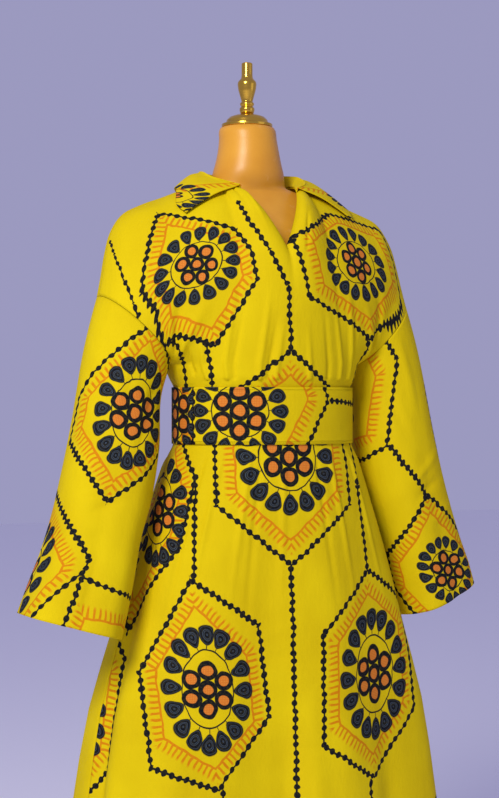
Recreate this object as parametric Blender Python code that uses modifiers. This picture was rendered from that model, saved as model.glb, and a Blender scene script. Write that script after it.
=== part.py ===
"""Yellow wax-print shirt dress on a limbless dress form with a pole stand.

Metres, +Z up. The origin is on the floor under the pole. The dress faces -Y,
and +X is the side of its left sleeve. Every cloth panel is a grid laid on
horizontal or tilted sections of the worn garment, given its wall with Solidify.
"""
import math

import bmesh
import bpy
import numpy as np

# Cloth and seams
CLOTH = 0.0015
BELT_CLOTH = 0.0024
COLLAR_CLOTH = 0.0018
SEAM_GAP = 0.0004
ARMHOLE_GAP = 0.0010
UNDERARM_CLEAR = 0.0014

# Grid sizes: columns and rows of faces
PANEL_COLUMNS = 26
BODICE_HIGH_ROWS = 10
SKIRT_ROWS = 14
SLEEVE_COLUMNS = 22
SLEEVE_ROWS = 13
COLLAR_COLUMNS = 24
FORM_SEGMENTS = 28
TURNED_SEGMENTS = 24

# Heights above the floor
HEM_Z = 0.15
BELT_BOTTOM_Z = 1.0025
WAIST_Z = 1.0516
BELT_TOP_Z = 1.0965
UNDERARM_Z = 1.135
FORM_BOTTOM_Z = 0.80

# Stand
BASE_RADIUS = 0.19
BASE_THICKNESS = 0.006
BASE_BEVEL = 0.002
HUB_RADIUS = 0.020
HUB_TOP_Z = 0.055
POLE_RADIUS = 0.0125

# Share of the half panel that lies under the neckline; the rest is the shoulder
NECK_SHARE = 5 / 13

# Middle of the body's section at each height
CENTRE = (
    # z, x, y
    (1.10, 0.007, -0.020),
    (1.20, 0.004, -0.008),
    (1.32, 0.000, 0.006),
    (1.42, -0.004, 0.018),
    (1.56, -0.004, 0.021),
)

# Bodice sections from the waist seam to the underarm
BODICE = (
    # z, half width, front depth, back depth
    (1.0516, 0.1555, 0.1155, 0.1155),
    (1.0980, 0.1555, 0.1155, 0.1155),
    (1.1130, 0.1625, 0.1235, 0.1200),
    (1.1350, 0.1700, 0.1290, 0.1220),
)

# Skirt sections from the waist seam to the hem
SKIRT = (
    # z, half width, front depth, back depth
    (1.0516, 0.1555, 0.1155, 0.1155),
    (1.001, 0.1555, 0.1155, 0.1155),
    (0.973, 0.1705, 0.1200, 0.1250),
    (0.929, 0.1860, 0.1240, 0.1350),
    (0.859, 0.2095, 0.1280, 0.1500),
    (0.774, 0.2350, 0.1320, 0.1650),
    (0.693, 0.2570, 0.1365, 0.1780),
    (0.633, 0.2750, 0.1390, 0.1870),
    (0.565, 0.2940, 0.1420, 0.1950),
    (0.484, 0.3086, 0.1470, 0.2050),
    (0.400, 0.3203, 0.1530, 0.2130),
    (0.280, 0.3380, 0.1600, 0.2240),
    (0.150, 0.3550, 0.1680, 0.2350),
)

# Skirt folds: angle from the front middle towards +X, out is positive
SKIRT_FOLDS = (
    # angle at top, angle at hem, spread, depth at hem, starts at z
    (-12.0, -12.0, 9.0, -0.020, 0.98),
    (-38.0, -40.0, 10.0, 0.012, 0.98),
    (-62.0, -64.0, 9.0, 0.014, 0.96),
    (-80.0, -82.0, 8.0, -0.030, 0.90),
    (16.0, 14.0, 9.0, 0.016, 0.95),
    (38.0, 38.0, 9.0, -0.012, 0.90),
    (62.0, 60.0, 9.0, 0.012, 0.90),
    (84.0, 84.0, 8.0, -0.016, 0.80),
    (-108.0, -110.0, 10.0, 0.016, 0.90),
    (-132.0, -132.0, 9.0, -0.018, 0.90),
    (-156.0, -158.0, 10.0, 0.014, 0.95),
    (178.0, 178.0, 9.0, -0.016, 0.95),
    (154.0, 152.0, 10.0, 0.014, 0.95),
    (128.0, 128.0, 9.0, -0.016, 0.90),
    (106.0, 106.0, 9.0, 0.012, 0.90),
)

# Shoulder ridge from the neck point over the upper arm to the drop seam
RIDGE = (
    # x, y, z
    (0.076, 0.020, 1.4410),
    (0.098, 0.020, 1.4360),
    (0.126, 0.020, 1.4275),
    (0.160, 0.019, 1.4140),
    (0.200, 0.017, 1.3990),
    (0.232, 0.014, 1.3820),
    (0.252, 0.010, 1.3550),
    (0.263, 0.006, 1.3200),
    (0.271, 0.001, 1.2820),
    (0.279, -0.003, 1.2450),
)

# Front neckline from the bottom of the slit to the neck point
FRONT_NECK = (
    # x, y, z
    (0.0000, -0.1270, 1.3240),
    (0.0120, -0.1200, 1.3490),
    (0.0260, -0.1060, 1.3770),
    (0.0400, -0.0840, 1.4040),
    (0.0530, -0.0550, 1.4240),
    (0.0655, -0.0200, 1.4355),
    (0.0760, 0.0200, 1.4410),
)

# Back neckline from the middle to the neck point
BACK_NECK = (
    # x, y, z
    (0.0000, 0.0980, 1.4260),
    (0.0220, 0.0955, 1.4270),
    (0.0420, 0.0860, 1.4300),
    (0.0580, 0.0680, 1.4345),
    (0.0700, 0.0450, 1.4385),
    (0.0760, 0.0200, 1.4410),
)

# Fullness of the bodice above the underarm, added outwards at mid height
FULLNESS = (
    # share of half panel, front, back
    (0.00, 0.012, 0.022),
    (0.38, 0.026, 0.026),
    (0.70, 0.050, 0.046),
    (1.00, 0.068, 0.068),
)

# Right sleeve rings below the drop seam, down to the hem
RIGHT_SLEEVE = (
    # x, y, z, tilt in degrees, half width, half depth, forward skew
    (0.2420, -0.0120, 1.1200, 30.00, 0.0715, 0.0700, 0.003),
    (0.2580, -0.0200, 1.0100, 18.50, 0.0750, 0.0740, 0.0),
    (0.2775, -0.0300, 0.9250, 16.00, 0.0765, 0.0770, 0.0),
    (0.2950, -0.0380, 0.8700, 16.00, 0.0750, 0.0780, 0.0),
    (0.3140, -0.0500, 0.8100, 15.50, 0.0790, 0.0800, 0.0),
    (0.3310, -0.0560, 0.7600, 15.50, 0.0840, 0.0830, 0.0),
    (0.3460, -0.0600, 0.7160, 15.50, 0.0870, 0.0850, 0.0),
)

# Left sleeve rings: it hangs further back and closer to the skirt, drawn at +X
LEFT_SLEEVE = (
    # x, y, z, tilt in degrees, half width, half depth, forward skew
    (0.2420, -0.0100, 1.1200, 30.00, 0.0715, 0.0700, 0.003),
    (0.2570, -0.0120, 1.0100, 19.00, 0.0735, 0.0740, 0.0),
    (0.2750, -0.0120, 0.9250, 18.00, 0.0740, 0.0770, 0.0),
    (0.2930, -0.0090, 0.8700, 18.50, 0.0725, 0.0780, 0.0),
    (0.3130, -0.0040, 0.8100, 19.50, 0.0745, 0.0800, 0.0),
    (0.3290, 0.0020, 0.7660, 21.00, 0.0780, 0.0830, 0.0),
    (0.3410, 0.0060, 0.7260, 22.00, 0.0800, 0.0850, 0.0),
)

# Sleeve folds: angle from the outer side towards the front
SLEEVE_FOLDS = (
    # angle, spread, depth at hem, starts at share of length
    (35.0, 16.0, 0.005, 0.20),
    (75.0, 14.0, -0.007, 0.15),
    (115.0, 16.0, 0.006, 0.20),
    (160.0, 14.0, -0.005, 0.30),
    (215.0, 18.0, 0.005, 0.25),
    (265.0, 16.0, -0.006, 0.20),
    (315.0, 18.0, 0.005, 0.30),
)

# Collar stations from the middle back to the front end of the neckline
COLLAR = (
    # fold x, y, z, outer edge x, y, z
    (0.000, 0.1060, 1.4660, 0.000, 0.1360, 1.4100),
    (0.034, 0.1000, 1.4660, 0.055, 0.1280, 1.4140),
    (0.064, 0.0750, 1.4660, 0.098, 0.0930, 1.4260),
    (0.083, 0.0400, 1.4630, 0.126, 0.0500, 1.4330),
    (0.088, 0.0140, 1.4590, 0.135, 0.0200, 1.4330),
    (0.086, -0.0180, 1.4480, 0.140, -0.0180, 1.4260),
    (0.074, -0.0440, 1.4395, 0.143, -0.0440, 1.4100),
    (0.0545, -0.0625, 1.4320, 0.143, -0.0660, 1.3910),
)
# Share of the front neckline, from the neck point, that the collar covers
COLLAR_REACH = 0.39
COLLAR_SEAT = 0.0022
COLLAR_ROLL = 0.0032
COLLAR_LIFT = 0.007

# Dress form sections: upper body and neck
FORM = (
    # z, half width, half depth, middle y
    (0.800, 0.150, 0.100, -0.012),
    (0.830, 0.158, 0.105, -0.012),
    (0.930, 0.150, 0.102, -0.012),
    (1.050, 0.130, 0.090, -0.014),
    (1.150, 0.143, 0.099, -0.010),
    (1.250, 0.157, 0.108, -0.004),
    (1.320, 0.168, 0.104, 0.004),
    (1.365, 0.170, 0.084, 0.006),
    (1.385, 0.163, 0.069, 0.008),
    (1.402, 0.153, 0.058, 0.010),
    (1.4145, 0.137, 0.052, 0.012),
    (1.4245, 0.116, 0.047, 0.012),
    (1.4320, 0.081, 0.047, 0.013),
    (1.4380, 0.0655, 0.051, 0.015),
    (1.446, 0.0635, 0.056, 0.017),
    (1.458, 0.062, 0.058, 0.017),
    (1.476, 0.0570, 0.0560, 0.016),
    (1.504, 0.0512, 0.0520, 0.016),
    (1.522, 0.0490, 0.0500, 0.018),
    (1.534, 0.0485, 0.0490, 0.020),
    (1.5392, 0.0460, 0.0465, 0.021),
    (1.5410, 0.0420, 0.0425, 0.021),
)

# Brass cap and finial as one turning each: radius at height
CAP_PROFILE = (
    # radius, z
    (0.0100, 1.5640),
    (0.0190, 1.5625),
    (0.0300, 1.5585),
    (0.0350, 1.5535),
    (0.0366, 1.5480),
    (0.0435, 1.5465),
    (0.0435, 1.5420),
    (0.0428, 1.5413),
)
FINIAL_PROFILE = (
    # radius, z
    (0.0080, 1.6516),
    (0.0094, 1.6500),
    (0.0094, 1.6300),
    (0.0102, 1.6250),
    (0.0155, 1.6190),
    (0.0163, 1.6150),
    (0.0150, 1.6050),
    (0.0112, 1.5920),
    (0.0094, 1.5850),
    (0.0120, 1.5825),
    (0.0120, 1.5795),
    (0.0098, 1.5770),
    (0.0128, 1.5740),
    (0.0128, 1.5700),
    (0.0110, 1.5643),
)
CAP_CENTRE = (-0.004, 0.021)

# Materials: base colour, roughness, metallic
FINISH = {
    "print_cotton": ((0.62, 0.44, 0.010, 1.0), 0.85, 0.0),
    "form_leather": ((0.62, 0.33, 0.10, 1.0), 0.55, 0.0),
    "brass": ((0.72, 0.46, 0.13, 1.0), 0.22, 1.0),
    "stand_steel": ((0.045, 0.045, 0.05, 1.0), 0.45, 0.6),
}


def table(rows):
    return np.array(rows, dtype=float)


def smooth(edge0, edge1, value):
    share = np.clip((value - edge0) / (edge1 - edge0), 0.0, 1.0)
    return share * share * (3.0 - 2.0 * share)


def curve_through(rows, share):
    """Catmull-Rom curve through the rows of a table, share 0 to 1 along its length."""
    points = table(rows)
    steps = np.linalg.norm(np.diff(points[:, :3], axis=0), axis=1)
    knots = np.concatenate(([0.0], np.cumsum(steps))) / steps.sum()
    share = np.clip(np.asarray(share, dtype=float), 0.0, 1.0)
    tangents = np.gradient(points, knots, axis=0)
    i = np.clip(np.searchsorted(knots, share, side="right") - 1, 0, len(knots) - 2)
    span = (knots[i + 1] - knots[i])[..., None]
    t = ((share - knots[i]) / (knots[i + 1] - knots[i]))[..., None]
    h00 = 2 * t**3 - 3 * t**2 + 1
    h10 = t**3 - 2 * t**2 + t
    h01 = -2 * t**3 + 3 * t**2
    h11 = t**3 - t**2
    return (
        h00 * points[i]
        + h10 * span * tangents[i]
        + h01 * points[i + 1]
        + h11 * span * tangents[i + 1]
    )


def by_height(rows, z):
    """Columns of a section table at heights z, straight between its rows."""
    rows = table(rows)
    rows = rows[np.argsort(rows[:, 0])]
    return [np.interp(z, rows[:, 0], rows[:, c]) for c in range(1, rows.shape[1])]


def section_point(rows, z, angle):
    """Point of a worn section: angle in degrees from the front middle towards +X."""
    half, front, back = by_height(rows, z)
    middle_x, middle_y = by_height(CENTRE, z)
    turn = np.radians(angle)
    depth = np.where(np.cos(turn) > 0, front, back)
    return np.stack(
        [middle_x + half * np.sin(turn), middle_y - depth * np.cos(turn), z], axis=-1
    )


def skirt_point(z, angle):
    """Skirt section with its folds pushed out from the middle of the body."""
    point = section_point(SKIRT, z, angle)
    out = np.zeros_like(z)
    for top, hem, spread, depth, start in SKIRT_FOLDS:
        fall = np.clip((start - z) / (start - HEM_Z), 0.0, 1.0)
        away = (angle - (top + (hem - top) * fall) + 180.0) % 360.0 - 180.0
        out = out + depth * fall**0.8 * np.exp(-((away / spread) ** 2))
    turn = np.radians(angle)
    point[..., 0] += out * np.sin(turn)
    point[..., 1] -= out * np.cos(turn)
    return point


def bodice_point(share, rise, back):
    """Upper bodice: share -1 to 1 across, rise 0 at the underarm to 1 at the top."""
    side = np.where(share < 0, -1.0, 1.0)
    across = np.abs(share)
    angle = 90.0 * share
    if back:
        angle = 180.0 - angle
    low = section_point(BODICE, np.full_like(share, UNDERARM_Z), angle)
    neck_rows = BACK_NECK if back else FRONT_NECK
    top = np.where(
        (across < NECK_SHARE)[..., None],
        curve_through(neck_rows, across / NECK_SHARE),
        curve_through(RIDGE, (across - NECK_SHARE) / (1.0 - NECK_SHARE)),
    )
    top[..., 0] *= side
    full = by_height(FULLNESS, across)[1 if back else 0]
    arm = smooth(NECK_SHARE, 1.0, across)
    climb = np.sin(0.5 * math.pi * rise)
    ring = 0.5 - 0.5 * np.cos(math.pi * rise)
    up = (climb + (ring - climb) * arm)[..., None]
    point = low + (top - low) * up
    inward = np.cos(0.5 * math.pi * rise)
    inward = inward + (1.0 - ring - inward) * arm
    point[..., 1] = top[..., 1] + (low[..., 1] - top[..., 1]) * inward
    outward = 1.0 if back else -1.0
    point[..., 1] += outward * full * np.sin(math.pi * rise)
    return point


def bodice_panel(share, level, back):
    """Whole bodice panel: level 0 to 1 is waist to underarm, 1 to 2 is up to the top."""
    heights = table(BODICE)[:, 0]
    z = np.interp(level, np.linspace(0.0, 1.0, len(heights)), heights)
    angle = 90.0 * share
    if back:
        angle = 180.0 - angle
    low = section_point(BODICE, z, angle)
    high = bodice_point(share, np.clip(level - 1.0, 0.0, 1.0), back)
    return np.where((level <= 1.0)[..., None], low, high)


def sleeve_rows(side):
    """The ring on the armhole of that side, then the sleeve's own rings."""
    under = section_point(BODICE, np.array([UNDERARM_Z]), 90.0 * side)[0]
    under[0] = under[0] * side + UNDERARM_CLEAR
    across = np.array(RIDGE[-1]) - under
    middle = under + 0.5 * across
    tilt = math.degrees(math.atan2(across[2], across[0]))
    half = 0.5 * math.hypot(across[0], across[2])
    first = (*middle, tilt, half, FULLNESS[-1][1], 0.5 * across[1])
    return [first, *(LEFT_SLEEVE if side > 0 else RIGHT_SLEEVE)]


def sleeve_point(turn, share, side):
    """Sleeve of one side, drawn at +X: turn is degrees from the outer side forwards."""
    rings = curve_through(sleeve_rows(side), share)
    x, y, z, tilt, half, depth, skew = np.moveaxis(rings, -1, 0)
    out = np.zeros_like(share)
    for angle, spread, fold, start in SLEEVE_FOLDS:
        away = (turn - angle + 180.0) % 360.0 - 180.0
        fall = np.clip((share - start) / (1.0 - start), 0.0, 1.0)
        out = out + fold * fall * np.exp(-((away / spread) ** 2))
    across = (half + out) * np.cos(np.radians(turn))
    forward = (depth + out) * np.sin(np.radians(turn))
    lean = np.radians(tilt)
    return np.stack(
        [
            x + across * np.cos(lean),
            y - forward + skew * np.cos(np.radians(turn)),
            z + across * np.sin(lean),
        ],
        axis=-1,
    )


def collar_profile(share):
    """Points across the collar at a station, from the neck seam to its edge."""
    row = curve_through(COLLAR, share)
    fold, edge = row[..., 0:3], row[..., 3:6]
    up = np.array([0.0, 0.0, 1.0])
    behind = curve_through(BACK_NECK, 2.0 * share)
    before = curve_through(FRONT_NECK, 1.0 - COLLAR_REACH * (2.0 * share - 1.0))
    seam = np.where((share < 0.5)[..., None], behind, before) + COLLAR_SEAT * up
    out = edge - fold
    out[..., 2] = 0.0
    out = out / np.linalg.norm(out, axis=-1, keepdims=True)
    lift = COLLAR_LIFT * up
    return [
        seam,
        seam + 0.55 * (fold - seam) - COLLAR_ROLL * 0.4 * out,
        fold - COLLAR_ROLL * out - COLLAR_ROLL * 0.6 * up,
        fold + COLLAR_ROLL * 0.2 * up,
        fold + COLLAR_ROLL * out - COLLAR_ROLL * 0.6 * up,
        fold + 0.40 * (edge - fold) + lift * 0.8,
        fold + 0.72 * (edge - fold) + lift * 0.6,
        edge,
    ]


def material(name):
    made = bpy.data.materials.new(name)
    made.use_nodes = True
    shader = made.node_tree.nodes["Principled BSDF"]
    colour, rough, metal = FINISH[name]
    shader.inputs["Base Color"].default_value = colour
    shader.inputs["Roughness"].default_value = rough
    shader.inputs["Metallic"].default_value = metal
    made.diffuse_color = colour
    return made


def finish(obj, name, home, slot):
    obj.name = name
    obj.data.name = name
    obj.data.materials.clear()
    obj.data.materials.append(material_of[slot])
    for other in list(obj.users_collection):
        other.objects.unlink(obj)
    home.objects.link(obj)
    return obj


def add_grid(columns, rows, place, wrap=False):
    """Grid primitive whose corners are laid on a surface; wrap joins its two sides."""
    mesh = bpy.data.meshes.new("panel")
    grid = bmesh.new()
    bmesh.ops.create_grid(grid, x_segments=columns, y_segments=rows, size=0.5)
    corners = np.array([v.co[:] for v in grid.verts])
    points = place(corners[:, 0] + 0.5, corners[:, 1] + 0.5)
    for vert, point in zip(grid.verts, points):
        vert.co = point
    if wrap:
        bmesh.ops.remove_doubles(grid, verts=grid.verts, dist=1e-5)
    grid.to_mesh(mesh)
    grid.free()
    obj = bpy.data.objects.new("panel", mesh)
    bpy.context.scene.collection.objects.link(obj)
    return obj


def cloth(name, columns, rows, place, home, thick=CLOTH, wrap=False):
    """Cloth panel: a grid on its surface with a wall centred on it."""
    obj = add_grid(columns, rows, place, wrap)
    wall = obj.modifiers.new("wall", "SOLIDIFY")
    wall.thickness = thick
    wall.offset = 0.0
    return finish(obj, name, home, "print_cotton")


def bodice(name, back, home):
    low_rows = len(BODICE) - 1
    levels = low_rows + BODICE_HIGH_ROWS
    steps = np.concatenate(
        (
            np.linspace(0.0, 1.0, low_rows + 1),
            np.linspace(1.0, 2.0, BODICE_HIGH_ROWS + 1)[1:],
        )
    )
    keep = 1.0 - SEAM_GAP / 0.26

    def place(u, v):
        level = np.interp(v, np.linspace(0.0, 1.0, levels + 1), steps)
        share = (2.0 * u - 1.0) * (-1.0 if back else 1.0)
        point = bodice_panel(share * keep, level, back)
        over = (level > 1.999) & (np.abs(share) >= NECK_SHARE)
        point[..., 1] += np.where(over, SEAM_GAP if back else -SEAM_GAP, 0.0)
        return point

    return cloth(name, PANEL_COLUMNS, levels, place, home)


def skirt(name, back, home):
    below_belt = SKIRT[1][0]
    falls = np.linspace(below_belt, HEM_Z, SKIRT_ROWS)
    heights = np.concatenate(([WAIST_Z - SEAM_GAP], falls))

    def place(u, v):
        z = np.interp(1.0 - v, np.linspace(0.0, 1.0, len(heights)), heights)
        keep = 1.0 - 2.0 * SEAM_GAP / 0.40
        angle = 90.0 * (2.0 * u - 1.0) * keep
        if back:
            angle = 180.0 + angle
        return skirt_point(z, angle)

    return cloth(name, PANEL_COLUMNS, SKIRT_ROWS, place, home)


def sleeve(name, side, home):
    def place(u, v):
        share = ARMHOLE_GAP / 0.49 + (1.0 - ARMHOLE_GAP / 0.49) * (1.0 - v)
        point = sleeve_point(360.0 * u * side, share, side)
        point[..., 0] *= side
        return point

    return cloth(name, SLEEVE_COLUMNS, SLEEVE_ROWS, place, home, wrap=True)


def belt(home):
    grow = 0.5 * (CLOTH + BELT_CLOTH) + SEAM_GAP

    def place(u, v):
        z = BELT_BOTTOM_Z + (BELT_TOP_Z - BELT_BOTTOM_Z) * v
        angle = 360.0 * u - 90.0
        point = section_point(SKIRT, np.full_like(z, BELT_BOTTOM_Z), angle)
        point[..., 2] = z
        turn = np.radians(angle)
        point[..., 0] += grow * np.sin(turn)
        point[..., 1] -= grow * np.cos(turn)
        return point

    return cloth("belt", 2 * PANEL_COLUMNS, 2, place, home, thick=BELT_CLOTH, wrap=True)


def collar(home):
    def place(u, v):
        side = np.where(u < 0.5, -1.0, 1.0)
        rows = collar_profile(np.abs(2.0 * u - 1.0))
        steps = np.linspace(0.0, 1.0, len(rows))
        level = np.rint(v * (len(rows) - 1)).astype(int)
        point = np.zeros((len(u), 3))
        for step in range(len(steps)):
            point[level == step] = rows[step][level == step]
        point[..., 0] *= side
        return point

    return cloth("collar", COLLAR_COLUMNS, 7, place, home, thick=COLLAR_CLOTH)


def dress_form(home):
    """Smooth closed body of rings with a flat underside and a flat neck top."""
    rows = table(FORM)
    heights = np.linspace(0.0, 1.0, len(rows))

    def place(u, v):
        z = np.interp(v, heights, rows[:, 0])
        half = np.interp(v, heights, rows[:, 1])
        depth = np.interp(v, heights, rows[:, 2])
        middle_x = by_height(CENTRE, z)[0]
        middle_y = np.interp(v, heights, rows[:, 3])
        turn = 2.0 * math.pi * u
        return np.stack(
            [middle_x + half * np.sin(turn), middle_y - depth * np.cos(turn), z], axis=-1
        )

    obj = add_grid(FORM_SEGMENTS, len(rows) - 1, place, wrap=True)
    body = bmesh.new()
    body.from_mesh(obj.data)
    bmesh.ops.holes_fill(body, edges=body.edges, sides=0)
    bmesh.ops.recalc_face_normals(body, faces=body.faces)
    body.to_mesh(obj.data)
    body.free()
    return finish(obj, "form_torso", home, "form_leather")


def turned(name, profile, centre, home, slot):
    """Solid of revolution: the profile at +X runs down the outer side."""
    mesh = bpy.data.meshes.new(name)
    outline = [(0.0, profile[0][1])] + list(profile) + [(0.0, profile[-1][1])]
    points = [(radius, 0.0, z) for radius, z in outline]
    mesh.from_pydata(points, [(i, i + 1) for i in range(len(points) - 1)], [])
    obj = bpy.data.objects.new(name, mesh)
    bpy.context.scene.collection.objects.link(obj)
    obj.location = (centre[0], centre[1], 0.0)
    screw = obj.modifiers.new("turn", "SCREW")
    screw.steps = TURNED_SEGMENTS
    screw.render_steps = TURNED_SEGMENTS
    screw.use_merge_vertices = True
    screw.merge_threshold = 0.0001
    return finish(obj, name, home, slot)


def stand(home):
    base_profile = (
        (HUB_RADIUS - BASE_BEVEL, HUB_TOP_Z),
        (HUB_RADIUS, HUB_TOP_Z - BASE_BEVEL),
        (HUB_RADIUS, 0.5 * HUB_TOP_Z),
        (1.5 * HUB_RADIUS, BASE_THICKNESS + 2.0 * BASE_BEVEL),
        (2.5 * HUB_RADIUS, BASE_THICKNESS),
        (BASE_RADIUS - BASE_BEVEL, BASE_THICKNESS),
        (BASE_RADIUS, BASE_THICKNESS - BASE_BEVEL),
        (BASE_RADIUS, 0.0),
    )
    turned("base_plate", base_profile, (0.0, 0.0), home, "stand_steel")
    bottom = HUB_TOP_Z + SEAM_GAP
    top = FORM_BOTTOM_Z - SEAM_GAP
    bpy.ops.mesh.primitive_cylinder_add(
        vertices=TURNED_SEGMENTS,
        radius=POLE_RADIUS,
        depth=top - bottom,
        location=(0.0, 0.0, 0.5 * (bottom + top)),
    )
    finish(bpy.context.object, "pole", home, "stand_steel")


def clear_scene():
    for obj in list(bpy.data.objects):
        bpy.data.objects.remove(obj, do_unlink=True)


def main():
    clear_scene()
    home = bpy.data.collections.new("dress_on_form")
    bpy.context.scene.collection.children.link(home)
    for name in FINISH:
        material_of[name] = material(name)
    bodice("bodice_front", False, home)
    bodice("bodice_back", True, home)
    skirt("skirt_front", False, home)
    skirt("skirt_back", True, home)
    sleeve("sleeve_left", 1.0, home)
    sleeve("sleeve_right", -1.0, home)
    belt(home)
    collar(home)
    dress_form(home)
    turned("neck_cap", CAP_PROFILE, CAP_CENTRE, home, "brass")
    turned("finial", FINIAL_PROFILE, CAP_CENTRE, home, "brass")
    stand(home)


material_of = {}
main()
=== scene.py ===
import math

import bmesh
import bpy
import numpy as np
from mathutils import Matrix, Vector


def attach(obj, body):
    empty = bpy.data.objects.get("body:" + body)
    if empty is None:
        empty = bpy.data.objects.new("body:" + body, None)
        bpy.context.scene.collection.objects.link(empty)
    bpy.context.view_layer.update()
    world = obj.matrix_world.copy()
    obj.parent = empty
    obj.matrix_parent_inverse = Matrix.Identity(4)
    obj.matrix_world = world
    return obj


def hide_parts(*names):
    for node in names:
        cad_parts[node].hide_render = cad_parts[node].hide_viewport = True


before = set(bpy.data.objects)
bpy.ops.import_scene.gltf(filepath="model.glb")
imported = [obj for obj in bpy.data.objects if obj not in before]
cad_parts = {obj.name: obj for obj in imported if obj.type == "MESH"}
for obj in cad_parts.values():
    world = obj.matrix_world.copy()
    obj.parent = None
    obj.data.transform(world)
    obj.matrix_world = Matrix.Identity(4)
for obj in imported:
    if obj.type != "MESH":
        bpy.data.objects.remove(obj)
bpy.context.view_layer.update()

# Cloth and seams, in metres
CLOTH = 0.0011
BELT_CLOTH = 0.0022
COLLAR_CLOTH = 0.0016
SEAM_GAP = 0.0002
ARMHOLE_GAP = 0.0003
UNDERARM_CLEAR = 0.0006
BELT_CLEAR = 0.0008
SLEEVE_LENGTH = 0.49

# Heights above the floor
HEM_Z = 0.15
BELT_BOTTOM_Z = 1.0025
WAIST_Z = 1.0516
BELT_TOP_Z = 1.0965
UNDERARM_Z = 1.135

# Share of the half panel that lies under the neckline; the rest is the shoulder
NECK_SHARE = 5 / 13

# Share of the panel's half turn that its cloth covers, and of the bodice's rows below the underarm
PANEL_REACH = 1.0 - 0.0004
LOW_ROWS = 0.16

# Grid sizes: columns and rows of faces
BODICE_GRID = (156, 112)
SKIRT_GRID = (168, 150)
SLEEVE_GRID = (132, 120)
BELT_GRID = (260, 16)
COLLAR_GRID = (168, 42)

# Camera: it looks level at the belt from the front, on the side of the right sleeve
VIEW_AZIMUTH = -24.0
VIEW_DISTANCE = 3.0
VIEW_HEIGHT = 1.077
VIEW_ASIDE = -0.008
VIEW_LENS = 79.6

# Studio: colours are linear
SKY = (0.60, 0.585, 0.95)
SKY_STRENGTH = 0.55
FLOOR = (0.93, 0.92, 0.97)
FLOOR_ROUGH = 0.8
FLOOR_SIZE = 24.0
LIGHTS = (
    # name, place, aim, size, power, colour
    ("key", (-2.6, -2.6, 3.1), (0.0, 0.0, 1.3), (1.2, 1.5), 150.0, (1.0, 0.97, 0.92)),
    ("fill", (2.6, -2.6, 1.6), (0.0, 0.0, 1.0), (2.0, 2.0), 5.0, (0.97, 0.97, 1.0)),
)

# Middle of the body's section at each height
CENTRE = (
    # z, x, y
    (1.1, 0.007, -0.02),
    (1.2, 0.004, -0.008),
    (1.32, 0.0, 0.006),
    (1.42, -0.004, 0.018),
    (1.56, -0.004, 0.021),
)

# Bodice sections from the waist seam to the underarm
BODICE = (
    # z, half width, front depth, back depth
    (1.0516, 0.1555, 0.1155, 0.1155),
    (1.098, 0.1555, 0.1155, 0.1155),
    (1.113, 0.1625, 0.1235, 0.12),
    (1.135, 0.17, 0.129, 0.122),
)

# Skirt sections from the waist seam to the hem
SKIRT = (
    # z, half width, front depth, back depth
    (1.0516, 0.1555, 0.1155, 0.1155),
    (1.001, 0.1555, 0.1155, 0.1155),
    (0.973, 0.1705, 0.12, 0.125),
    (0.929, 0.186, 0.124, 0.135),
    (0.859, 0.2095, 0.128, 0.15),
    (0.774, 0.235, 0.132, 0.165),
    (0.693, 0.257, 0.1365, 0.178),
    (0.633, 0.275, 0.139, 0.187),
    (0.565, 0.294, 0.142, 0.195),
    (0.484, 0.3086, 0.147, 0.205),
    (0.4, 0.3203, 0.153, 0.213),
    (0.28, 0.338, 0.16, 0.224),
    (0.15, 0.355, 0.168, 0.235),
)

# Skirt folds: angle from the front middle towards +X, out is positive
SKIRT_FOLDS = (
    # angle at top, angle at hem, spread, depth at hem, starts at z
    (-12.0, -12.0, 9.0, -0.02, 0.98),
    (-38.0, -40.0, 10.0, 0.012, 0.98),
    (-62.0, -64.0, 9.0, 0.014, 0.96),
    (-80.0, -82.0, 8.0, -0.03, 0.9),
    (16.0, 14.0, 9.0, 0.016, 0.95),
    (38.0, 38.0, 9.0, -0.012, 0.9),
    (62.0, 60.0, 9.0, 0.012, 0.9),
    (84.0, 84.0, 8.0, -0.016, 0.8),
    (-108.0, -110.0, 10.0, 0.016, 0.9),
    (-132.0, -132.0, 9.0, -0.018, 0.9),
    (-156.0, -158.0, 10.0, 0.014, 0.95),
    (178.0, 178.0, 9.0, -0.016, 0.95),
    (154.0, 152.0, 10.0, 0.014, 0.95),
    (128.0, 128.0, 9.0, -0.016, 0.9),
    (106.0, 106.0, 9.0, 0.012, 0.9),
)

# Shoulder ridge from the neck point over the upper arm to the drop seam
RIDGE = (
    # x, y, z
    (0.076, 0.02, 1.441),
    (0.098, 0.02, 1.436),
    (0.126, 0.02, 1.4275),
    (0.16, 0.019, 1.414),
    (0.2, 0.017, 1.399),
    (0.232, 0.014, 1.382),
    (0.252, 0.01, 1.355),
    (0.263, 0.006, 1.32),
    (0.271, 0.001, 1.282),
    (0.279, -0.003, 1.245),
)

# Front neckline from the bottom of the slit to the neck point
FRONT_NECK = (
    # x, y, z
    (0.0, -0.127, 1.324),
    (0.012, -0.12, 1.349),
    (0.026, -0.106, 1.377),
    (0.04, -0.084, 1.404),
    (0.053, -0.055, 1.424),
    (0.0655, -0.02, 1.4355),
    (0.076, 0.02, 1.441),
)

# Back neckline from the middle to the neck point
BACK_NECK = (
    # x, y, z
    (0.0, 0.098, 1.426),
    (0.022, 0.0955, 1.427),
    (0.042, 0.086, 1.43),
    (0.058, 0.068, 1.4345),
    (0.07, 0.045, 1.4385),
    (0.076, 0.02, 1.441),
)

# Fullness of the bodice above the underarm, added outwards at mid height
FULLNESS = (
    # share of half panel, front, back
    (0.0, 0.012, 0.022),
    (0.38, 0.026, 0.026),
    (0.7, 0.05, 0.046),
    (1.0, 0.068, 0.068),
)

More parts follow.
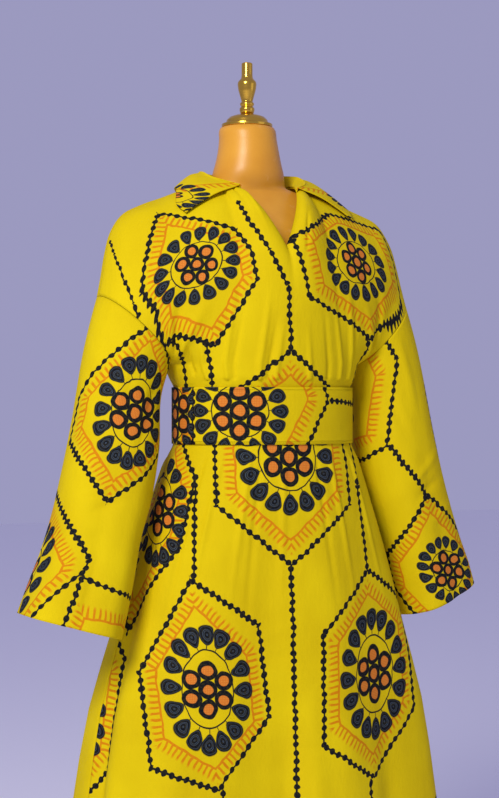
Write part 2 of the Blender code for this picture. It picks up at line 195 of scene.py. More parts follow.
# Right sleeve rings below the drop seam, down to the hem
RIGHT_SLEEVE = (
    # x, y, z, tilt in degrees, half width, half depth, forward skew
    (0.242, -0.012, 1.12, 30.0, 0.0715, 0.07, 0.003),
    (0.258, -0.02, 1.01, 18.5, 0.075, 0.074, 0.0),
    (0.2775, -0.03, 0.925, 16.0, 0.0765, 0.077, 0.0),
    (0.295, -0.038, 0.87, 16.0, 0.075, 0.078, 0.0),
    (0.314, -0.05, 0.81, 15.5, 0.079, 0.08, 0.0),
    (0.331, -0.056, 0.76, 15.5, 0.084, 0.083, 0.0),
    (0.346, -0.06, 0.716, 15.5, 0.087, 0.085, 0.0),
)

# Left sleeve rings: it hangs further back and closer to the skirt, drawn at +X
LEFT_SLEEVE = (
    # x, y, z, tilt in degrees, half width, half depth, forward skew
    (0.242, -0.01, 1.12, 30.0, 0.0715, 0.07, 0.003),
    (0.257, -0.012, 1.01, 19.0, 0.0735, 0.074, 0.0),
    (0.275, -0.012, 0.925, 18.0, 0.074, 0.077, 0.0),
    (0.293, -0.009, 0.87, 18.5, 0.0725, 0.078, 0.0),
    (0.313, -0.004, 0.81, 19.5, 0.0745, 0.08, 0.0),
    (0.329, 0.002, 0.766, 21.0, 0.078, 0.083, 0.0),
    (0.341, 0.006, 0.726, 22.0, 0.08, 0.085, 0.0),
)

# Sleeve folds: angle from the outer side towards the front
SLEEVE_FOLDS = (
    # angle, spread, depth at hem, starts at share of length
    (35.0, 16.0, 0.005, 0.2),
    (75.0, 14.0, -0.007, 0.15),
    (115.0, 16.0, 0.006, 0.2),
    (160.0, 14.0, -0.005, 0.3),
    (215.0, 18.0, 0.005, 0.25),
    (265.0, 16.0, -0.006, 0.2),
    (315.0, 18.0, 0.005, 0.3),
)

# Collar stations from the middle back to the front end of the neckline
COLLAR = (
    # fold x, y, z, outer edge x, y, z
    (0.0, 0.106, 1.466, 0.0, 0.136, 1.41),
    (0.034, 0.1, 1.466, 0.055, 0.128, 1.414),
    (0.064, 0.075, 1.466, 0.098, 0.093, 1.426),
    (0.083, 0.04, 1.463, 0.126, 0.05, 1.433),
    (0.088, 0.014, 1.459, 0.135, 0.02, 1.433),
    (0.086, -0.018, 1.448, 0.15, -0.019, 1.415),
    (0.074, -0.044, 1.4395, 0.16, -0.045, 1.396),
    (0.0545, -0.0625, 1.432, 0.153, -0.069, 1.381),
)
COLLAR_REACH = 0.39
COLLAR_SEAT = 0.0022
COLLAR_ROLL = 0.0032
COLLAR_LIFT = 0.007

# Where a soft fold begins to rise, as a share of its length, and a millimetre
CREASE_END = -0.02
MM = 0.001


def fading(start, end, rows):
    """Folds that fade out by these shares of their length at their start and end."""
    return tuple((*row, start, end) for row in rows)


# Soft folds of each panel, one a row: u1, v1, u2, v2, spread and depth. Places are shares of the
# panel, across from the viewer's left and up. Spread and depth are in millimetres.
BODICE_CREASES = fading(0.0, 0.8, (
    (0.275, 0.1, 0.3, 0.42, 5, 4.5),
    (0.3, 0.1, 0.33, 0.36, 4.5, -3.5),
    (0.385, 0.1, 0.42, 0.44, 5.5, 5),
    (0.415, 0.1, 0.445, 0.36, 4.5, -4),
    (0.44, 0.1, 0.47, 0.4, 5, 3.5),
    (0.56, 0.1, 0.545, 0.34, 5, 3),
    (0.64, 0.1, 0.61, 0.36, 5.5, -3.5),
    (0.7, 0.1, 0.66, 0.4, 5, 4),
    (0.76, 0.1, 0.72, 0.46, 5.5, 5),
    (0.785, 0.1, 0.75, 0.4, 4.5, -4),
    (0.2, 0.1, 0.19, 0.36, 5.5, 4),
    (0.15, 0.12, 0.13, 0.36, 5.5, -4),
)) + fading(0.3, 0.6, (
    (0.03, 0.3, 0.23, 0.52, 11, -6),
    (0.06, 0.24, 0.27, 0.4, 10, 5),
    (0.975, 0.3, 0.8, 0.54, 11, -6),
    (0.94, 0.24, 0.76, 0.42, 10, 5),
)) + fading(0.3, 0.8, (
    (0.3, 0.98, 0.34, 0.62, 6, 3.5),
    (0.335, 0.98, 0.38, 0.6, 5.5, -3.5),
    (0.365, 0.98, 0.425, 0.66, 5, 3),
)) + fading(0.3, 0.7, (
    (0.6, 0.8, 0.545, 0.56, 7, -3),
)) + fading(0.3, 0.6, (
    (0.18, 0.96, 0.15, 0.6, 14, 3.5),
    (0.83, 0.96, 0.86, 0.62, 14, 3.5),
))
BODICE_BACK_CREASES = fading(0.0, 0.8, (
    (0.2, 0.1, 0.21, 0.4, 6, 4.5),
    (0.235, 0.1, 0.25, 0.36, 5, -4),
    (0.31, 0.1, 0.33, 0.44, 6, 5),
    (0.365, 0.1, 0.38, 0.38, 5.5, -4),
    (0.45, 0.1, 0.455, 0.42, 6, 4.5),
    (0.52, 0.1, 0.52, 0.36, 5.5, -4),
    (0.6, 0.1, 0.59, 0.44, 6, 5),
    (0.665, 0.1, 0.65, 0.38, 5, -4),
    (0.745, 0.1, 0.725, 0.42, 6, 4.5),
    (0.81, 0.1, 0.795, 0.36, 5.5, 4),
)) + fading(0.3, 0.6, (
    (0.03, 0.3, 0.26, 0.56, 12, -6),
    (0.97, 0.3, 0.74, 0.56, 12, -6),
    (0.06, 0.24, 0.3, 0.42, 11, 5),
    (0.94, 0.24, 0.7, 0.42, 11, 5),
))
SKIRT_CREASES = fading(0.1, 0.7, (
    (0.36, 0.93, 0.345, 0.62, 5.5, 3.5),
    (0.395, 0.93, 0.385, 0.55, 5, -3),
    (0.47, 0.93, 0.465, 0.6, 5.5, 3),
    (0.585, 0.93, 0.6, 0.58, 5, -3),
    (0.64, 0.93, 0.66, 0.6, 5.5, 3.5),
    (0.76, 0.93, 0.78, 0.62, 5.5, 3.5),
    (0.265, 0.93, 0.245, 0.58, 5.5, 3.5),
    (0.2, 0.93, 0.185, 0.56, 6, -3.5),
)) + fading(0.0, 0.6, (
    (0.472, 0.02, 0.478, 0.6, 15, -8.5),
    (0.53, 0.02, 0.528, 0.6, 13, 6.5),
    (0.3, 0.02, 0.31, 0.55, 18, -6),
    (0.7, 0.02, 0.69, 0.55, 18, -5),
)) + fading(0.4, 0.5, (
    (0.5, 0.62, 0.415, 0.6, 7, 1.2),
    (0.5, 0.57, 0.425, 0.56, 6, -1.2),
    (0.52, 0.44, 0.43, 0.45, 7, 1.2),
    (0.56, 0.4, 0.48, 0.4, 6, -1.2),
))
SKIRT_BACK_CREASES = fading(0.1, 0.7, (
    (0.13, 0.93, 0.11, 0.6, 6, 4),
    (0.26, 0.93, 0.24, 0.58, 6, -3.5),
    (0.37, 0.93, 0.36, 0.6, 6, 4),
    (0.48, 0.93, 0.48, 0.56, 6, -3.5),
    (0.6, 0.93, 0.61, 0.6, 6, 4),
    (0.73, 0.93, 0.745, 0.58, 6, 3.5),
    (0.86, 0.93, 0.88, 0.6, 6, 4),
))
RIGHT_SLEEVE_CREASES = fading(0.3, 0.6, (
    (0.64, 0.36, 0.8, 0.46, 9, -3),
    (0.6, 0.42, 0.78, 0.5, 8, 3),
    (0.56, 0.28, 0.76, 0.34, 9, 2.5),
    (0.86, 0.9, 0.76, 0.52, 9, -3),
    (0.7, 0.98, 0.69, 0.6, 10, 3),
)) + fading(0.0, 0.8, (
    (0.7, 0.0, 0.69, 0.3, 8, 2.5),
)) + fading(0.3, 0.6, (
    (0.3, 0.96, 0.28, 0.5, 10, 3),
    (0.18, 0.4, 0.38, 0.46, 9, -3),
))
LEFT_SLEEVE_CREASES = fading(0.3, 0.6, (
    (0.2, 0.4, 0.4, 0.46, 9, -3),
    (0.2, 0.46, 0.42, 0.55, 8, 3),
    (0.24, 0.3, 0.42, 0.34, 9, 2.5),
    (0.14, 0.92, 0.26, 0.56, 9, -3.5),
    (0.26, 0.98, 0.3, 0.62, 10, 3),
    (0.7, 0.96, 0.72, 0.5, 10, 3),
    (0.62, 0.4, 0.82, 0.46, 9, -3),
))
BELT_CREASES = fading(0.4, 0.5, (
    (0.44, 0.3, 0.5, 0.42, 6, 0.8),
    (0.52, 0.68, 0.585, 0.6, 6, 0.8),
    (0.6, 0.2, 0.655, 0.35, 6, -0.8),
    (0.35, 0.7, 0.41, 0.55, 6, -0.8),
))

# Limbless form, brass cap and finial, and the stand
FORM = (
    # z, half width, half depth, middle y
    (0.8, 0.15, 0.1, -0.012),
    (0.83, 0.158, 0.105, -0.012),
    (0.93, 0.15, 0.102, -0.012),
    (1.05, 0.13, 0.09, -0.014),
    (1.15, 0.143, 0.099, -0.01),
    (1.25, 0.157, 0.108, -0.004),
    (1.32, 0.168, 0.104, 0.004),
    (1.365, 0.17, 0.084, 0.006),
    (1.385, 0.163, 0.069, 0.008),
    (1.402, 0.153, 0.058, 0.01),
    (1.4145, 0.137, 0.052, 0.012),
    (1.4245, 0.116, 0.047, 0.012),
    (1.432, 0.081, 0.047, 0.013),
    (1.438, 0.0655, 0.051, 0.015),
    (1.446, 0.0635, 0.056, 0.017),
    (1.458, 0.062, 0.058, 0.017),
    (1.476, 0.057, 0.056, 0.016),
    (1.504, 0.0512, 0.052, 0.016),
    (1.522, 0.049, 0.05, 0.018),
    (1.534, 0.0485, 0.049, 0.02),
    (1.5392, 0.046, 0.0465, 0.021),
    (1.541, 0.042, 0.0425, 0.021),
)
CAP_PROFILE = (
    # radius, z
    (0.01, 1.564),
    (0.019, 1.5625),
    (0.03, 1.5585),
    (0.035, 1.5535),
    (0.0366, 1.548),
    (0.0435, 1.5465),
    (0.0435, 1.542),
    (0.0428, 1.5413),
)
FINIAL_PROFILE = (
    # radius, z
    (0.008, 1.6516),
    (0.0094, 1.65),
    (0.0094, 1.63),
    (0.0102, 1.625),
    (0.0155, 1.619),
    (0.0163, 1.615),
    (0.015, 1.605),
    (0.0112, 1.592),
    (0.0094, 1.585),
    (0.012, 1.5825),
    (0.012, 1.5795),
    (0.0098, 1.577),
    (0.0128, 1.574),
    (0.0128, 1.57),
    (0.011, 1.5643),
)
CAP_CENTRE = (-0.004, 0.021)
BASE_PROFILE = (
    # radius, z
    (0.018, 0.055),
    (0.02, 0.053),
    (0.02, 0.0275),
    (0.03, 0.01),
    (0.05, 0.006),
    (0.188, 0.006),
    (0.19, 0.004),
    (0.19, 0.0),
)
POLE_PROFILE = (
    # radius, z
    (0.0125, 0.7996),
    (0.0125, 0.0554),
)
FORM_GRID = (112, 150)
FORM_END = 0.04
TURNED_STEPS = 96

# Print: sizes in metres on the flat cloth
BEAD_PITCH = 0.0135
BEAD_HALF = 0.0052
BEAD_LONG = 0.0053
BEAD_LINE = 0.0017
BEAD_ROUNDING = 1.8
FRINGE_PITCH = 0.0095
FRINGE_HALF = 0.0019
FRINGE_REACH = 0.0175
LEAF_COUNT = 16
LEAF_LONG = 0.016
LEAF_HALF = 0.012
LEAF_RING = 0.138
BERRY_RING = 0.032
BERRY_HALF = 0.0165
BERRY_CORE = 0.0088
PRINT_WOBBLE = 0.007
THREAD = 0.0009
STITCH_PITCH = 0.0032
DOT_PITCH = 0.0027

# Print: the fringed hexagon's half, height and corner as shares of the beaded one's, its line,
# and the stem and stalks, whose ring and reach are shares of the ring of leaves
FRINGE_SHARES = (0.74, 0.77, 0.72)
FRINGE_SLANT = 0.5
FRINGE_LINE = 0.0018
STEM_RING = 0.71
STALK_MIDDLE = 0.84
STALK_REACH = 0.13
STALK_LINE = 0.0007
LEAF_TAPER = 0.38
LEAF_VEINS = 2.2

# Print colours, linear
YELLOW_LIGHT = (0.71, 0.545, 0.003)
YELLOW_DEEP = (0.61, 0.445, 0.002)
ORANGE_LINE = (0.6, 0.17, 0.004)
BERRY = (0.6, 0.16, 0.02)
BERRY_DOT = (0.8, 0.4, 0.05)
INK = (0.004, 0.006, 0.01)
INK_PALE = (0.1, 0.14, 0.18)
LEATHER = (0.7, 0.34, 0.03)
LEATHER_DEEP = (0.6, 0.26, 0.018)
LEATHER_PALE = (0.8, 0.5, 0.2)
BRASS = (0.8, 0.48, 0.06)
BRASS_DEEP = (0.46, 0.25, 0.03)
STEEL = (0.025, 0.025, 0.028)
STEEL_WORN = (0.04, 0.04, 0.044)


def pose(turn=0.0, tilt=0.0, lean=0.0, lean_below=None, slant=0.0):
    """How a medallion sits on the cut. It leans alike above and below unless told otherwise."""
    return turn, tilt, lean, lean if lean_below is None else lean_below, slant


def both_sides(*rows):
    """Each medallion of the rows, and its mirror image beyond the panel's middle."""
    mirrored = []
    for u, v, turns, half, up, down, corner, aside, *sizes in rows:
        turns_back = tuple(-value for value in turns)
        mirrored.append((-u, v, turns_back, half, up, down, corner, -aside, *sizes))
    return (*rows, *mirrored)


UPRIGHT = pose()
CHEST_POSE = pose(turn=0.397, lean=-0.24, lean_below=0.25)
RIGHT_SKIRT_POSE = pose(lean=-0.107, slant=0.42)
LEFT_SKIRT_POSE = pose(lean=0.02, slant=0.12)
LEFT_CUFF_POSE = pose(tilt=-0.5, lean=0.17)

# Bead runs, one a row: the width, height and skew that it is drawn with, then its places u, v.
# The cut is skewed at the shoulder, so that run is drawn with the measure of one place on it.
PLAIN_CUT = (1.0, 1.0, 0.0)
SHOULDER_CUT = (1.0, 1.7, 1.09)

# Medallions on each panel's cut, one a row: u, v, pose, the bead hexagon's half, up, down and
# corner, the leaf ring's aside, above, x and y, and the size of the berries.
BODICE_MOTIFS = (
    (-0.15, 0.2355, CHEST_POSE, 0.086, 0.147, 0.1187, 0.046, -0.006, 0.018, 0.061, 0.051, 0.76),
    (0.147, 0.27, pose(turn=0.2), 0.132, 0.08, 0.139, 0.052, 0.0, -0.011, 0.066, 0.052, 0.76),
    (-0.006, -0.069, UPRIGHT, 0.122, 0.1755, 0.1755, 0.081, 0.0, 0.0, 0.071, 0.078, 1.0),
)
BODICE_RUNS = (
    (
        PLAIN_CUT,
        (-0.0956, 0.3657),
        (-0.0716, 0.318),
        (-0.0396, 0.2687),
        (-0.011, 0.2119),
        (-0.006, 0.1066),
    ),
    (PLAIN_CUT, (-0.1464, 0.125), (-0.133, 0.04)),
    (PLAIN_CUT, (-0.2158, 0.1561), (-0.1931, 0.1214), (-0.1837, 0.03)),
    (PLAIN_CUT, (0.1707, 0.1324), (0.1812, 0.1181), (0.16, 0.03)),
    (
        SHOULDER_CUT,
        (-0.3478, 0.3637),
        (-0.3254, 0.3248),
        (-0.2989, 0.2781),
        (-0.2739, 0.2404),
        (-0.262, 0.222),
    ),
)
SKIRT_MOTIFS = (
    (-0.0075, -0.069, UPRIGHT, 0.122, 0.1755, 0.1755, 0.081, 0.0, 0.0, 0.071, 0.078, 1.0),
    (-0.156, -0.458, RIGHT_SKIRT_POSE, 0.104, 0.186, 0.144, 0.074, 0.003, 0.013, 0.059, 0.087, 0.95),
    (0.15, -0.437, LEFT_SKIRT_POSE, 0.106, 0.171, 0.171, 0.091, 0.008, -0.002, 0.066, 0.09, 1.0),
    (-0.255, -0.165, pose(lean=0.25), 0.075, 0.165, 0.2, 0.06, 0.015, 0.001, 0.05, 0.08, 0.9),
    (-0.415, -0.5, pose(lean=0.2), 0.085, 0.2, 0.2, 0.09, 0.0, 0.0, 0.05, 0.085, 0.9),
    (0.29, -0.15, pose(lean=-0.2), 0.08, 0.165, 0.185, 0.06, 0.0, 0.0, 0.05, 0.085, 0.9),
    (-0.0065, -0.86, UPRIGHT, 0.118, 0.18, 0.18, 0.09, 0.0, 0.0, 0.062, 0.09, 1.0),
    (-0.33, -0.86, UPRIGHT, 0.105, 0.18, 0.18, 0.09, 0.0, 0.0, 0.06, 0.09, 1.0),
    (0.315, -0.86, UPRIGHT, 0.105, 0.18, 0.18, 0.09, 0.0, 0.0, 0.06, 0.09, 1.0),
)
SKIRT_RUNS = (
    (PLAIN_CUT, (-0.008, -0.2443), (-0.005, -0.62), (-0.006, -0.68)),
    (PLAIN_CUT, (-0.17, -0.2723), (-0.165, -0.108)),
    (PLAIN_CUT, (0.153, -0.2662), (0.1407, -0.1223), (0.149, -0.04)),
    (PLAIN_CUT, (-0.1345, -0.601), (-0.13, -0.93)),
    (PLAIN_CUT, (0.1356, -0.608), (0.15, -0.93)),
)
BACK_BODICE_MOTIFS = (
    (0.0, 0.265, UPRIGHT, 0.1, 0.12, 0.13, 0.055, 0.0, 0.0, 0.058, 0.06, 0.85),
    *both_sides((-0.205, 0.235, pose(turn=0.1), 0.085, 0.12, 0.13, 0.05, 0.0, 0.0, 0.05, 0.06, 0.8)),
)
BACK_BODICE_RUNS = (
    (PLAIN_CUT, (0.0, 0.135), (0.0, 0.04)),
    (PLAIN_CUT, (-0.1, 0.32), (-0.11, 0.4)),
    (PLAIN_CUT, (0.1, 0.32), (0.11, 0.4)),
    (PLAIN_CUT, (-0.2, 0.105), (-0.17, 0.04)),
    (PLAIN_CUT, (0.2, 0.105), (0.17, 0.04)),
)
BACK_SKIRT_MOTIFS = (
    (0.0, -0.175, UPRIGHT, 0.11, 0.1755, 0.1755, 0.085, 0.0, 0.0, 0.062, 0.09, 1.0),
    *both_sides(
        (-0.17, -0.54, pose(lean=-0.05), 0.108, 0.175, 0.175, 0.085, 0.0, 0.0, 0.06, 0.088, 0.95),
        (-0.33, -0.2, pose(lean=0.2), 0.09, 0.165, 0.175, 0.08, 0.0, 0.0, 0.055, 0.085, 0.95),
    ),
    (0.0, -0.9, UPRIGHT, 0.11, 0.18, 0.18, 0.09, 0.0, 0.0, 0.062, 0.09, 1.0),
)
BACK_SKIRT_RUNS = (
    (PLAIN_CUT, (0.0, -0.3505), (0.0, -0.72)),
    (PLAIN_CUT, (-0.16, -0.365), (-0.15, -0.05)),
    (PLAIN_CUT, (0.16, -0.365), (0.15, -0.05)),
    (PLAIN_CUT, (-0.17, -0.715), (-0.17, -0.93)),
    (PLAIN_CUT, (0.17, -0.715), (0.17, -0.93)),
)
RIGHT_SLEEVE_MOTIFS = (
    (0.115, -0.14, pose(tilt=0.6, lean=0.1), 0.112, 0.155, 0.15, 0.035, 0.003, 0.002, 0.054, 0.08, 0.95),
    (-0.042, -0.505, pose(tilt=0.6, slant=0.1), 0.14, 0.19, 0.19, 0.01, 0.0, 0.02, 0.062, 0.08, 0.95),
    (0.198, -0.611, pose(tilt=0.17), 0.1, 0.21, 0.2, 0.2, 0.0, 0.0, 0.05, 0.08, 0.95),
    (-0.16, -0.14, pose(tilt=0.3), 0.1, 0.16, 0.165, 0.06, 0.0, 0.0, 0.056, 0.085, 0.95),
)
RIGHT_SLEEVE_RUNS = ((PLAIN_CUT, (0.1, 0.01), (0.1, 0.09)),)
LEFT_SLEEVE_MOTIFS = (
    (-0.29, -0.026, pose(tilt=-0.5, lean=0.3), 0.15, 0.24, 0.17, 0.071, 0.0, 0.0, 0.056, 0.08, 0.95),
    (-0.134, -0.418, LEFT_CUFF_POSE, 0.095, 0.142, 0.142, 0.035, 0.018, -0.004, 0.047, 0.054, 0.8),
    (0.055, -0.22, pose(tilt=-0.2), 0.1, 0.16, 0.165, 0.06, 0.0, 0.0, 0.056, 0.085, 0.95),
)
LEFT_SLEEVE_RUNS = ((PLAIN_CUT, (-0.1578, -0.1632), (-0.1103, -0.2882)),)
BELT_MOTIFS = (
    (-0.089, 0.075, UPRIGHT, 0.158, 0.28, 0.28, 0.004, 0.0, -0.02, 0.066, 0.062, 1.0),
    (-0.27, 0.05, UPRIGHT, 0.1, 0.2, 0.2, 0.06, 0.05, 0.0, 0.05, 0.062, 1.0),
    (0.33, 0.05, UPRIGHT, 0.12, 0.2, 0.2, 0.06, 0.0, 0.0, 0.06, 0.062, 1.0),
)
BELT_RUNS = ((PLAIN_CUT, (0.0742, 0.0728), (0.1555, 0.066), (0.215, 0.062)),)
COLLAR_MOTIFS = tuple(
    (u, 0.108, UPRIGHT, 0.3, 0.3, 0.3, 0.2, 0.0, 0.0, 0.045, 0.036, 0.4) for u in (-0.24, 0.215, 0.0)
)


def table(rows):
    return np.array(rows, dtype=float)


def smooth(edge0, edge1, value):
    share = np.clip((value - edge0) / (edge1 - edge0), 0.0, 1.0)
    return share * share * (3.0 - 2.0 * share)


def bump(away, spread):
    return np.exp(-((away / spread) ** 2))


def hermite(start, leave, end, arrive, t):
    """Cubic between two points with a tangent at each, t from 0 to 1."""
    return (
        (2 * t**3 - 3 * t**2 + 1) * start
        + (t**3 - 2 * t**2 + t) * leave
        + (-2 * t**3 + 3 * t**2) * end
        + (t**3 - t**2) * arrive
    )


def curve_through(rows, share):
    """Catmull-Rom curve through the rows of a table, share 0 to 1 along its length."""
    points = table(rows)
    steps = np.linalg.norm(np.diff(points[:, :3], axis=0), axis=1)
    knots = np.concatenate(([0.0], np.cumsum(steps))) / steps.sum()
    share = np.clip(np.asarray(share, dtype=float), 0.0, 1.0)
    tangents = np.gradient(points, knots, axis=0)
    i = np.clip(np.searchsorted(knots, share, side="right") - 1, 0, len(knots) - 2)
    span = (knots[i + 1] - knots[i])[..., None]
    t = (share - knots[i])[..., None] / span
    return hermite(points[i], span * tangents[i], points[i + 1], span * tangents[i + 1], t)


def by_height(rows, z):
    """Columns of a section table at heights z, straight between its rows."""
    rows = table(rows)
    rows = rows[np.argsort(rows[:, 0])]
    return [np.interp(z, rows[:, 0], rows[:, c]) for c in range(1, rows.shape[1])]


def section_point(rows, z, angle):
    """Point of a worn section: angle in degrees from the front middle towards +X."""
    half, front, back = by_height(rows, z)
    middle_x, middle_y = by_height(CENTRE, z)
    turn = np.radians(angle)
    depth = np.where(np.cos(turn) > 0, front, back)
    return np.stack(
        [middle_x + half * np.sin(turn), middle_y - depth * np.cos(turn), z], axis=-1
    )


def skirt_point(z, angle):
    """Skirt section with its folds pushed out from the middle of the body."""
    point = section_point(SKIRT, z, angle)
    out = np.zeros_like(z)
    for top, hem, spread, depth, start in SKIRT_FOLDS:
        fall = np.clip((start - z) / (start - HEM_Z), 0.0, 1.0)
        away = (angle - (top + (hem - top) * fall) + 180.0) % 360.0 - 180.0
        out = out + depth * fall**0.8 * bump(away, spread)
    turn = np.radians(angle)
    point[..., 0] += out * np.sin(turn)
    point[..., 1] -= out * np.cos(turn)
    return point


def bodice_point(share, rise, back):
    """Upper bodice: share -1 to 1 across, rise 0 at the underarm to 1 at the top."""
    side = np.where(share < 0, -1.0, 1.0)
    across = np.abs(share)
    angle = 90.0 * share
    if back:
        angle = 180.0 - angle
    low = section_point(BODICE, np.full_like(share, UNDERARM_Z), angle)
    neck_rows = BACK_NECK if back else FRONT_NECK
    top = np.where(
        (across < NECK_SHARE)[..., None],
        curve_through(neck_rows, across / NECK_SHARE),
        curve_through(RIDGE, (across - NECK_SHARE) / (1.0 - NECK_SHARE)),
    )
    top[..., 0] *= side
    full = by_height(FULLNESS, across)[1 if back else 0]
    arm = smooth(NECK_SHARE, 1.0, across)
    climb = np.sin(0.5 * math.pi * rise)
    ring = 0.5 - 0.5 * np.cos(math.pi * rise)
    up = (climb + (ring - climb) * arm)[..., None]
    point = low + (top - low) * up
    inward = np.cos(0.5 * math.pi * rise)
    inward = inward + (1.0 - ring - inward) * arm
    point[..., 1] = top[..., 1] + (low[..., 1] - top[..., 1]) * inward
    outward = 1.0 if back else -1.0
    point[..., 1] += outward * full * np.sin(math.pi * rise)
    return point


def bodice_panel(share, level, back):
    """Whole bodice panel: level 0 to 1 is waist to underarm, 1 to 2 is up to the top."""
    heights = table(BODICE)[:, 0]
    z = np.interp(level, np.linspace(0.0, 1.0, len(heights)), heights)
    angle = 90.0 * share
    if back:
        angle = 180.0 - angle
    low = section_point(BODICE, z, angle)
    high = bodice_point(share, np.clip(level - 1.0, 0.0, 1.0), back)
    return np.where((level <= 1.0)[..., None], low, high)


def sleeve_rows(side):
    """The ring on the armhole of that side, then the sleeve's own rings."""
    under = section_point(BODICE, np.array([UNDERARM_Z]), 90.0 * side)[0]
    under[0] = under[0] * side + UNDERARM_CLEAR
    across = np.array(RIDGE[-1]) - under
    middle = under + 0.5 * across
    tilt = math.degrees(math.atan2(across[2], across[0]))
    half = 0.5 * math.hypot(across[0], across[2])
    first = (*middle, tilt, half, FULLNESS[-1][1], 0.5 * across[1])
    return [first, *(LEFT_SLEEVE if side > 0 else RIGHT_SLEEVE)]


def sleeve_point(turn, share, side):
    """Sleeve of one side, drawn at +X: turn is degrees from the outer side forwards."""
    rings = curve_through(sleeve_rows(side), share)
    x, y, z, tilt, half, depth, skew = np.moveaxis(rings, -1, 0)
    out = np.zeros_like(share)
    for angle, spread, fold, start in SLEEVE_FOLDS:
        away = (turn - angle + 180.0) % 360.0 - 180.0
        fall = np.clip((share - start) / (1.0 - start), 0.0, 1.0)
        out = out + fold * fall * bump(away, spread)
    across = (half + out) * np.cos(np.radians(turn))
    forward = (depth + out) * np.sin(np.radians(turn))
    lean = np.radians(tilt)
    return np.stack(
        [
            x + across * np.cos(lean),
            y - forward + skew * np.cos(np.radians(turn)),
            z + across * np.sin(lean),
        ],
        axis=-1,
    )


def collar_profile(share):
    """Points across the collar at a station, from the neck seam to its edge."""
    row = curve_through(COLLAR, share)
    fold, edge = row[..., 0:3], row[..., 3:6]
    up = np.array([0.0, 0.0, 1.0])
    behind = curve_through(BACK_NECK, 2.0 * share)
    before = curve_through(FRONT_NECK, 1.0 - COLLAR_REACH * (2.0 * share - 1.0))
    seam = np.where((share < 0.5)[..., None], behind, before) + COLLAR_SEAT * up
    out = edge - fold
    out[..., 2] = 0.0
    out = out / np.linalg.norm(out, axis=-1, keepdims=True)
    lift = COLLAR_LIFT * up
    return [
        seam,
        seam + 0.55 * (fold - seam) - COLLAR_ROLL * 0.4 * out,
        fold - COLLAR_ROLL * out - COLLAR_ROLL * 0.6 * up,
        fold + COLLAR_ROLL * 0.2 * up,
        fold + COLLAR_ROLL * out - COLLAR_ROLL * 0.6 * up,
        fold + 0.40 * (edge - fold) + lift * 0.8,
        fold + 0.72 * (edge - fold) + lift * 0.6,
        edge,
    ]


def outward(points, wrap=False):
    """Unit normals of a grid of points, by the cross product of its two directions."""
    along = np.gradient(points, axis=1)
    if wrap:
        along[:, 0] = along[:, -1] = points[:, 1] - points[:, -2]
    up = np.gradient(points, axis=0)
    normal = np.cross(along, up)
    length = np.linalg.norm(normal, axis=-1, keepdims=True)
    return normal / np.maximum(length, 1e-12)


def fade(reach, share):
    """Rises from 0 at a fold's end to 1 at the given share of its length."""
    return smooth(CREASE_END, share, reach) if share > 0.0 else np.where(reach > CREASE_END, 1.0, 0.0)


def creases(points, rows, wrap=False):
    """Soft folds: each is a line between two places, and a positive depth stands out."""
    tall, wide = points.shape[:2]
    u, v = grid_of((wide - 1, tall - 1))
    out = np.zeros_like(u)
    across = np.linalg.norm(np.diff(points[tall // 2], axis=0), axis=-1).sum()
    up = np.linalg.norm(np.diff(points[:, wide // 2], axis=0), axis=-1).sum()
    for u1, v1, u2, v2, spread, depth, fade_low, fade_high in rows:
        run = np.array([(u2 - u1) * across, (v2 - v1) * up])
        length = math.hypot(*run)
        run = run / length
        x, y = (u - u1) * across, (v - v1) * up
        along = (x * run[0] + y * run[1]) / length
        away = -x * run[1] + y * run[0]
        height = MM * depth * bump(away, MM * spread)
        out += height * fade(along, fade_low) * fade(1.0 - along, fade_high)
    return points + out[..., None] * outward(points, wrap)


def path_length(points, axis):
    """Running length of the cloth along one axis of a grid of points."""
    steps = np.linalg.norm(np.diff(points, axis=axis), axis=-1)
    start = np.zeros_like(np.take(steps, [0], axis=axis))
    return np.concatenate((start, np.cumsum(steps, axis=axis)), axis=axis)


def grid_of(size):
    """Shares 0 to 1 of the columns and rows of a grid, as two arrays."""
    columns, rows = size
    return np.meshgrid(np.linspace(0.0, 1.0, columns + 1), np.linspace(0.0, 1.0, rows + 1))


def middle_cut(points, zero_row=0):
    """Cut of a panel in metres: across from its middle column, up from one of its rows."""
    across = path_length(points, 1)
    middle = 0.5 * (points.shape[1] - 1)
    low = across[:, int(math.floor(middle))]
    high = across[:, int(math.ceil(middle))]
    across = across - 0.5 * (low + high)[:, None]
    up = path_length(points, 0)
    return np.stack([across, up - up[zero_row]], axis=-1)


def bodice_grid(back):
    """Points and cut of a bodice panel. The cut's zero is the waist's middle."""
    u, v = grid_of(BODICE_GRID)
    level = np.where(v < LOW_ROWS, v / LOW_ROWS, 1.0 + (v - LOW_ROWS) / (1.0 - LOW_ROWS))
    share = (2.0 * u - 1.0) * (-1.0 if back else 1.0) * PANEL_REACH
    points = bodice_panel(share, level, back)
    cut = middle_cut(points)
    plan = points * np.array([1.0, 1.0, 0.0])
    cut[..., 0] = middle_cut(plan)[..., 0]
    points = creases(points, BODICE_BACK_CREASES if back else BODICE_CREASES)
    return points, cut


def skirt_grid(back):
    """Points and cut of a skirt panel. The cut's zero is the waist's middle."""
    u, v = grid_of(SKIRT_GRID)
    z = (WAIST_Z - SEAM_GAP) + (HEM_Z - WAIST_Z + SEAM_GAP) * (1.0 - v)
    angle = 90.0 * (2.0 * u - 1.0) * PANEL_REACH
    if back:
        angle = 180.0 + angle
    points = skirt_point(z, angle)
    cut = middle_cut(points, zero_row=-1)
    points = creases(points, SKIRT_BACK_CREASES if back else SKIRT_CREASES)
    return points, cut


